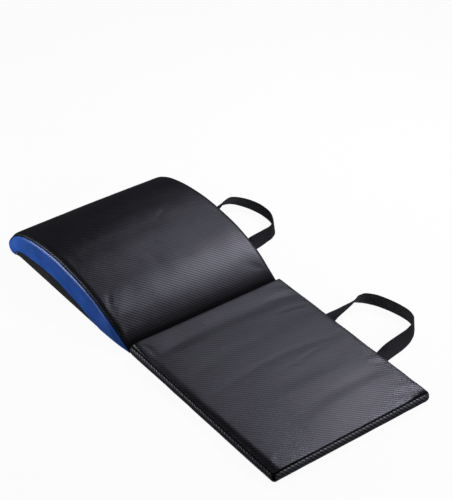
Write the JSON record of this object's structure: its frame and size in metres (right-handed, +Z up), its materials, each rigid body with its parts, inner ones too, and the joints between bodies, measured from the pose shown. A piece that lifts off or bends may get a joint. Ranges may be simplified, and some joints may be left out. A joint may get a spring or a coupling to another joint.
{
  "type": "ab mat",
  "caption": "Folding ab mat: a crowned foam wedge and a flat foam pad on a cloth hinge, covered in leatherette, with a webbing handle on each half.",
  "frame": {"origin": "centre of the wedge's base, on the ground, with both halves lying flat", "axes": "+X towards the side with the handles, +Y from the fold towards the wedge's thick end, +Z up"},
  "size_m": [0.4324, 0.7653, 0.075],
  "materials": {
    "top_leather": "satin",
    "side_leather": "satin",
    "blue_leather": "satin",
    "side_cloth": "matte",
    "grip_cloth": "matte",
    "webbing": "matte",
    "foam": "matte"
  },
  "bodies": {
    "wedge": {"wedge_foam_core": "foam", "wedge_top_cover": "top_leather", "wedge_side_band_left": "blue_leather", "wedge_side_band_right": "blue_leather", "wedge_lower_panel_left": "side_cloth", "wedge_lower_panel_right": "side_cloth", "wedge_base_cover": "grip_cloth", "wedge_hinge_flap": "grip_cloth", "wedge_handle_tab_rear": "webbing", "wedge_handle_tab_front": "webbing"},
    "wedge_handle": {"wedge_handle_strap": "webbing"},
    "pad": {"pad_foam_core": "foam", "pad_top_cover": "top_leather", "pad_boxing_front": "side_leather", "pad_boxing_hinge": "side_leather", "pad_boxing_left": "side_leather", "pad_boxing_right": "side_leather", "pad_base_cover": "grip_cloth", "pad_hinge_flap": "grip_cloth", "pad_handle_tab_rear": "webbing", "pad_handle_tab_front": "webbing"},
    "pad_handle": {"pad_handle_strap": "webbing"}
  },
  "joints": [
    {"name": "fold", "type": "hinge", "parent": "wedge", "child": "pad", "pos_m": [0, -0.1925, -0.00015], "axis": [1, 0, 0], "range_deg": [0, 180]},
    {"name": "wedge_handle_swing", "type": "hinge", "parent": "wedge", "child": "wedge_handle", "pos_m": [0.16325, -0.0055, 0.0024], "axis": [0, -1, 0], "range_deg": [0, 55]},
    {"name": "pad_handle_swing", "type": "hinge", "parent": "pad", "child": "pad_handle", "pos_m": [0.1607, -0.382, 0.0024], "axis": [0, -1, 0], "range_deg": [0, 75]}
  ]
}
